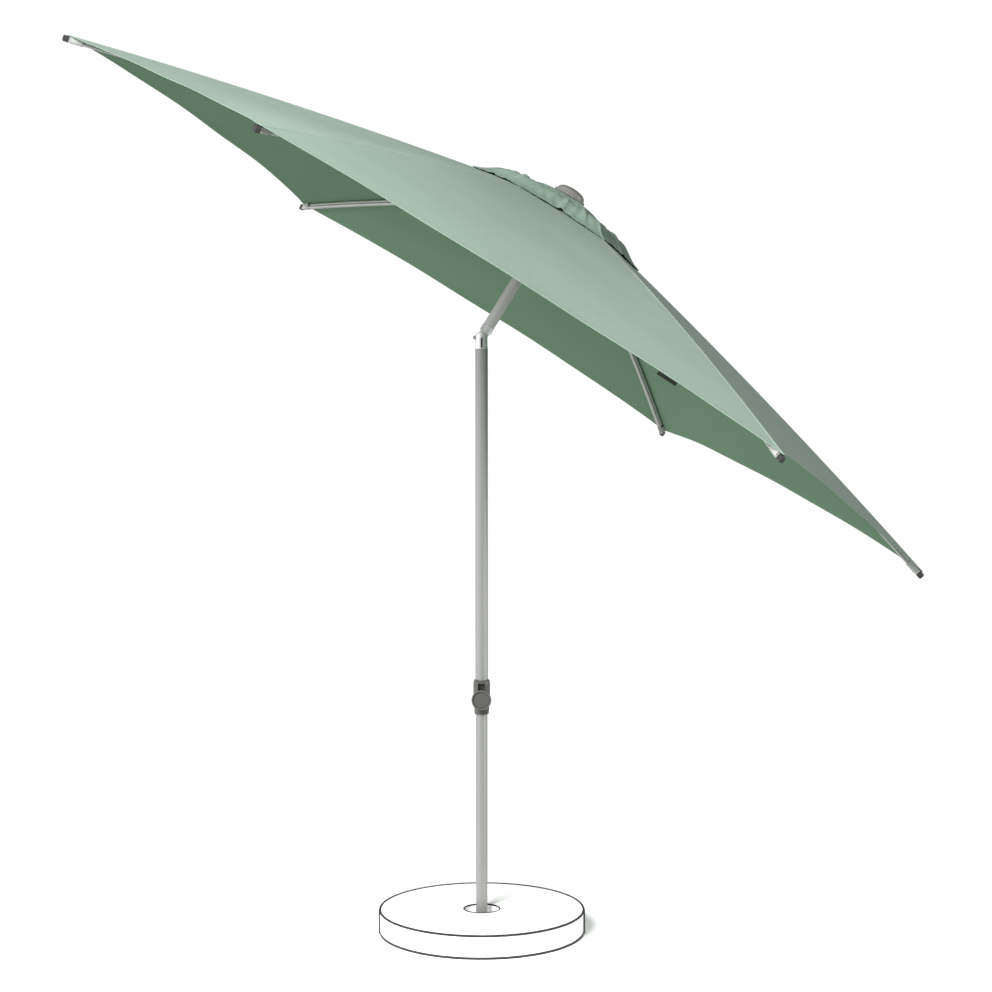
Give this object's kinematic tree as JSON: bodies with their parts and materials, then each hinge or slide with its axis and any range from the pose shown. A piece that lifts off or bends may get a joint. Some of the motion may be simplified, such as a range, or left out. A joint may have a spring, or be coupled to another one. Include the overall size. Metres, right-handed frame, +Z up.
{
  "type": "tilting patio umbrella",
  "caption": "Tilting garden umbrella with a ribbed cloth canopy, vented top, two-part clamped pole and a round weighted base.",
  "frame": {"origin": "centre of the base's underside, on the floor", "axes": "+Z up along the pole; +X the way the canopy tilts, so the tilt hinge runs along Y"},
  "size_m": [2.5404, 2.6898, 2.6689],
  "materials": {
    "base_white": "satin",
    "trim_rubber": "matte",
    "tube_silver": "satin",
    "joint_chrome": "polished",
    "clamp_grey": "satin",
    "finial_grey": "satin",
    "black_plastic": "satin",
    "fastener_steel": "satin",
    "rib_silver": "satin",
    "cloth_green": "matte",
    "strap_black": "matte"
  },
  "bodies": {
    "base": {"ballast_disc": "base_white", "foot_mat": "trim_rubber", "edge_bead": "trim_rubber", "well_grommet": "trim_rubber", "base_spigot": "fastener_steel", "spigot_bolt_1": "fastener_steel", "spigot_bolt_2": "fastener_steel", "spigot_bolt_3": "fastener_steel"},
    "lower_pole": {"lower_pole": "tube_silver", "pole_foot_collar": "black_plastic", "guide_bush": "black_plastic"},
    "upper_pole": {"upper_pole": "tube_silver", "clamp_housing": "clamp_grey", "tilt_fork": "joint_chrome", "tilt_pin": "fastener_steel"},
    "clamp_pad": {"clamp_pad": "black_plastic"},
    "clamp_knob": {"clamp_knob": "clamp_grey", "clamp_screw": "fastener_steel"},
    "tilt_button": {"tilt_button": "clamp_grey"},
    "mast": {"tilt_knuckle": "joint_chrome", "mast_tube": "tube_silver", "crown_hub": "black_plastic", "crown_plate": "black_plastic", "finial_cap": "finial_grey", "finial_stud": "fastener_steel"},
    "runner": {"runner": "black_plastic", "runner_cap": "black_plastic"},
    "runner_button": {"runner_button": "clamp_grey"},
    "rib_1": {"rib_1": "rib_silver", "rib_tip_1": "black_plastic", "canopy_gore_1": "cloth_green", "vent_gore_1": "cloth_green"},
    "rib_2": {"rib_2": "rib_silver", "rib_tip_2": "black_plastic", "canopy_gore_2": "cloth_green", "vent_gore_2": "cloth_green"},
    "rib_3": {"rib_3": "rib_silver", "rib_tip_3": "black_plastic", "canopy_gore_3": "cloth_green", "vent_gore_3": "cloth_green"},
    "rib_4": {"rib_4": "rib_silver", "rib_tip_4": "black_plastic", "canopy_gore_4": "cloth_green", "vent_gore_4": "cloth_green"},
    "rib_5": {"rib_5": "rib_silver", "rib_tip_5": "black_plastic", "canopy_gore_5": "cloth_green", "vent_gore_5": "cloth_green"},
    "rib_6": {"rib_6": "rib_silver", "rib_tip_6": "black_plastic", "canopy_gore_6": "cloth_green", "vent_gore_6": "cloth_green", "tie_strap": "strap_black"},
    "strut_1": {"strut_1": "rib_silver"},
    "strut_2": {"strut_2": "rib_silver"},
    "strut_3": {"strut_3": "rib_silver"},
    "strut_4": {"strut_4": "rib_silver"},
    "strut_5": {"strut_5": "rib_silver"},
    "strut_6": {"strut_6": "rib_silver"}
  },
  "joints": [
    {"name": "pole_swivel", "type": "hinge", "parent": "base", "child": "lower_pole", "pos_m": [0, 0, 0.2], "axis": [0, 0, 1], "continuous": true},
    {"name": "height_slide", "type": "slide", "parent": "lower_pole", "child": "upper_pole", "axis": [0, 0, 1], "range_m": [-0.3, 0.2]},
    {"name": "clamp_pad_slide", "type": "slide", "parent": "upper_pole", "child": "clamp_pad", "axis": [-0.1045, -0.9945, 0], "range_m": [0, 0.00126]},
    {"name": "clamp_knob_turn", "type": "hinge", "parent": "clamp_pad", "child": "clamp_knob", "pos_m": [-0.0047, -0.04475, 0.714], "axis": [-0.1045, -0.9945, 0], "range_deg": [0, 360]},
    {"name": "tilt_button_press", "type": "slide", "parent": "upper_pole", "child": "tilt_button", "axis": [1, 0, 0], "range_m": [0, 0.003], "stiffness_N_per_m": 400, "springref_m": -0.002},
    {"name": "tilt", "type": "hinge", "parent": "upper_pole", "child": "mast", "pos_m": [0, 0, 1.787], "axis": [0, 1, 0], "range_deg": [-32.1, 0]},
    {"name": "runner_slide", "type": "slide", "parent": "mast", "child": "runner", "axis": [-0.5315, 0, -0.847], "range_m": [0, 0.15]},
    {"name": "runner_button_press", "type": "slide", "parent": "runner", "child": "runner_button", "axis": [0.847, 0, -0.5315], "range_m": [0, 0.003], "stiffness_N_per_m": 400, "springref_m": -0.002},
    {"name": "rib_1_fold", "type": "hinge", "parent": "mast", "child": "rib_1", "pos_m": [0.26927, -0.00211, 2.15224], "axis": [0.0526, 0.9981, -0.033], "range_deg": [0, 9.46], "deforming": ["canopy_gore_1", "vent_gore_1"]},
    {"name": "strut_1_fold", "type": "hinge", "parent": "rib_1", "child": "strut_1", "pos_m": [0.613, -0.03126, 1.81848], "axis": [0.0526, 0.9981, -0.033], "range_deg": [-18.91, 0]},
    {"name": "rib_2_fold", "type": "hinge", "parent": "mast", "child": "rib_2", "pos_m": [0.25644, 0.02833, 2.16029], "axis": [-0.7058, 0.5528, 0.4429], "range_deg": [0, 9.46], "deforming": ["canopy_gore_2", "vent_gore_2"]},
    {"name": "strut_2_fold", "type": "hinge", "parent": "rib_2", "child": "strut_2", "pos_m": [0.42312, 0.41954, 1.93764], "axis": [-0.7058, 0.5528, 0.4429], "range_deg": [-18.91, 0]},
    {"name": "rib_3_fold", "type": "hinge", "parent": "mast", "child": "rib_3", "pos_m": [0.2277, 0.03044, 2.17833], "axis": [-0.7584, -0.4453, 0.4759], "range_deg": [0, 9.46], "deforming": ["canopy_gore_3", "vent_gore_3"]},
    {"name": "strut_3_fold", "type": "hinge", "parent": "rib_3", "child": "strut_3", "pos_m": [-0.00251, 0.45081, 2.20474], "axis": [-0.7584, -0.4453, 0.4759], "range_deg": [-18.91, 0]},
    {"name": "rib_4_fold", "type": "hinge", "parent": "mast", "child": "rib_4", "pos_m": [0.21178, 0.00211, 2.18832], "axis": [-0.0526, -0.9981, 0.033], "range_deg": [0, 9.46], "deforming": ["canopy_gore_4", "vent_gore_4"]},
    {"name": "strut_4_fold", "type": "hinge", "parent": "rib_4", "child": "strut_4", "pos_m": [-0.23826, 0.03126, 2.35268], "axis": [-0.0526, -0.9981, 0.033], "range_deg": [-18.91, 0]},
    {"name": "rib_5_fold", "type": "hinge", "parent": "mast", "child": "rib_5", "pos_m": [0.2246, -0.02833, 2.18027], "axis": [0.7058, -0.5528, -0.4429], "range_deg": [0, 9.46], "deforming": ["canopy_gore_5", "vent_gore_5"]},
    {"name": "strut_5_fold", "type": "hinge", "parent": "rib_5", "child": "strut_5", "pos_m": [-0.04838, -0.41954, 2.23352], "axis": [0.7058, -0.5528, -0.4429], "range_deg": [-18.91, 0]},
    {"name": "rib_6_fold", "type": "hinge", "parent": "mast", "child": "rib_6", "pos_m": [0.25335, -0.03044, 2.16223], "axis": [0.7584, 0.4453, -0.4759], "range_deg": [0, 9.46], "deforming": ["canopy_gore_6", "vent_gore_6"]},
    {"name": "strut_6_fold", "type": "hinge", "parent": "rib_6", "child": "strut_6", "pos_m": [0.37725, -0.45081, 1.96642], "axis": [0.7584, 0.4453, -0.4759], "range_deg": [-18.91, 0]}
  ],
  "couplings": [
    {"joint": "clamp_pad_slide", "follows": "clamp_knob_turn", "m_per_rad": 0.00019894},
    {"joint": "rib_1_fold", "follows": "runner_slide", "rad_per_m": 1.0888},
    {"joint": "strut_1_fold", "follows": "runner_slide", "rad_per_m": -2.1775},
    {"joint": "rib_2_fold", "follows": "runner_slide", "rad_per_m": 1.0888},
    {"joint": "strut_2_fold", "follows": "runner_slide", "rad_per_m": -2.1775},
    {"joint": "rib_3_fold", "follows": "runner_slide", "rad_per_m": 1.0888},
    {"joint": "strut_3_fold", "follows": "runner_slide", "rad_per_m": -2.1775},
    {"joint": "rib_4_fold", "follows": "runner_slide", "rad_per_m": 1.0888},
    {"joint": "strut_4_fold", "follows": "runner_slide", "rad_per_m": -2.1775},
    {"joint": "rib_5_fold", "follows": "runner_slide", "rad_per_m": 1.0888},
    {"joint": "strut_5_fold", "follows": "runner_slide", "rad_per_m": -2.1775},
    {"joint": "rib_6_fold", "follows": "runner_slide", "rad_per_m": 1.0888},
    {"joint": "strut_6_fold", "follows": "runner_slide", "rad_per_m": -2.1775}
  ]
}
